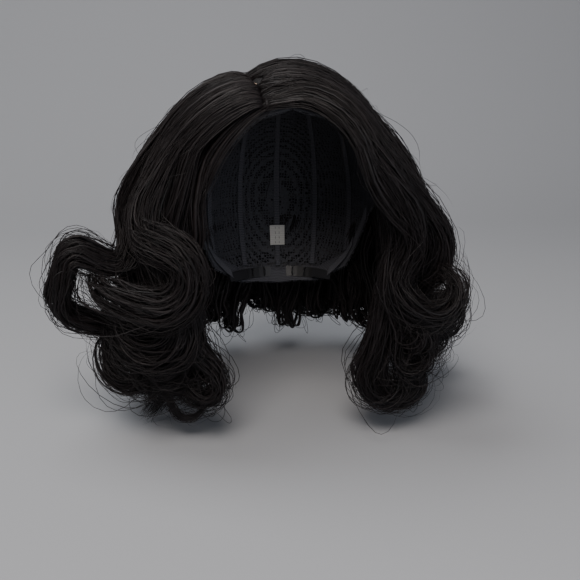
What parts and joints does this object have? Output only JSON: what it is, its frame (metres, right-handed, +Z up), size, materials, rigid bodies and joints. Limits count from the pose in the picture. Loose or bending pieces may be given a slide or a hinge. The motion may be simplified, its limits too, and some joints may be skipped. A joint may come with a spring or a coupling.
{
  "type": "costume wig",
  "caption": "Short curly costume wig: stretch net cap with weft tracks, ear tabs and nape adjusters under side-parted wavy dark hair with rolled curl ends.",
  "frame": {"origin": "centre of the head opening on the head's vertical axis, level with the tops of the ears", "axes": "+Z up through the crown, the face side towards -Y, the wearer's left side and the viewer's right towards +X"},
  "size_m": [0.323, 0.228, 0.2615],
  "materials": {
    "hair_fibre": "near-black synthetic fibre, low sheen with faint brown lights",
    "cap_net": "open black stretch net",
    "skin_patch": "pale skin-coloured monofilament strip",
    "weft_tape": "stitched black weft head",
    "binding_tape": "woven black tape",
    "elastic": "ribbed black elastic",
    "label_satin": "blank white satin",
    "stay_metal": "soft bendable strip",
    "tab_cloth": "black brushed tricot",
    "loop_wire": "black coated loops on tape",
    "hook_plastic": "black moulded hook"
  },
  "bodies": {
    "cap": {"crown_net": "cap_net", "parting_patch": "skin_patch", "front_binding": "binding_tape", "comfort_strip": "elastic", "ear_binding_left": "binding_tape", "ear_binding_right": "binding_tape", "nape_band": "elastic", "care_label": "label_satin", "back_rib_1": "elastic", "back_rib_2": "elastic", "back_rib_3": "elastic", "back_rib_4": "elastic", "back_rib_5": "elastic", "back_weft_track_1": "weft_tape", "back_weft_track_2": "weft_tape", "back_weft_track_3": "weft_tape", "back_weft_track_4": "weft_tape", "back_weft_track_5": "weft_tape", "back_weft_track_6": "weft_tape", "crown_weft_track_1": "weft_tape", "crown_weft_track_2": "weft_tape", "crown_weft_track_3": "weft_tape", "crown_weft_track_4": "weft_tape", "crown_weft_track_5": "weft_tape", "crown_weft_track_6": "weft_tape", "adjuster_loops_left": "loop_wire", "crown_hair_front_left": "hair_fibre", "crown_hair_side_left": "hair_fibre", "crown_hair_back_left": "hair_fibre", "adjuster_loops_right": "loop_wire", "crown_hair_front_right": "hair_fibre", "crown_hair_side_right": "hair_fibre", "crown_hair_back_right": "hair_fibre", "crown_hair_top": "hair_fibre"},
    "hair_left": {"side_hair_waves_left": "hair_fibre", "side_hair_curls_left": "hair_fibre"},
    "hair_right": {"side_hair_waves_right": "hair_fibre", "side_hair_curls_right": "hair_fibre"},
    "hair_back": {"back_hair_waves_left": "hair_fibre", "back_hair_waves_centre": "hair_fibre", "back_hair_waves_right": "hair_fibre", "back_hair_curls_left": "hair_fibre", "back_hair_curls_centre": "hair_fibre", "back_hair_curls_right": "hair_fibre"},
    "ear_tab_left": {"ear_tab_lining_left": "tab_cloth", "ear_tab_stay_left": "stay_metal", "ear_tab_cover_left": "tab_cloth"},
    "ear_tab_right": {"ear_tab_lining_right": "tab_cloth", "ear_tab_stay_right": "stay_metal", "ear_tab_cover_right": "tab_cloth"},
    "adjuster_left": {"adjuster_strap_left": "elastic", "adjuster_hook_left": "hook_plastic"},
    "adjuster_right": {"adjuster_strap_right": "elastic", "adjuster_hook_right": "hook_plastic"}
  },
  "joints": [
    {"name": "hair_left_swing", "type": "hinge", "parent": "cap", "child": "hair_left", "pos_m": [0.08, 0, 0.014], "axis": [0, -1, 0], "range_deg": [0, 12]},
    {"name": "hair_right_swing", "type": "hinge", "parent": "cap", "child": "hair_right", "pos_m": [-0.08, 0, 0.014], "axis": [0, 1, 0], "range_deg": [0, 12]},
    {"name": "hair_back_swing", "type": "hinge", "parent": "cap", "child": "hair_back", "pos_m": [0, 0.099, 0.014], "axis": [1, 0, 0], "range_deg": [0, 12]},
    {"name": "ear_tab_left_fold", "type": "hinge", "parent": "cap", "child": "ear_tab_left", "pos_m": [0.0703, -0.02861, 0.02009], "axis": [0.2503, 0.9682, 0], "range_deg": [0, 25], "stiffness_Nm_per_rad": 0.002},
    {"name": "ear_tab_right_fold", "type": "hinge", "parent": "cap", "child": "ear_tab_right", "pos_m": [-0.0703, -0.02861, 0.02009], "axis": [0.2503, -0.9682, 0], "range_deg": [0, 25], "stiffness_Nm_per_rad": 0.002},
    {"name": "adjuster_left_stretch", "type": "slide", "parent": "cap", "child": "adjuster_left", "axis": [-0.8094, 0.5873, 0], "range_m": [0, 0.006], "stiffness_N_per_m": 60, "deforming": ["adjuster_strap_left"]},
    {"name": "adjuster_right_stretch", "type": "slide", "parent": "cap", "child": "adjuster_right", "axis": [0.8094, 0.5873, 0], "range_m": [0, 0.006], "stiffness_N_per_m": 60, "deforming": ["adjuster_strap_right"]}
  ]
}
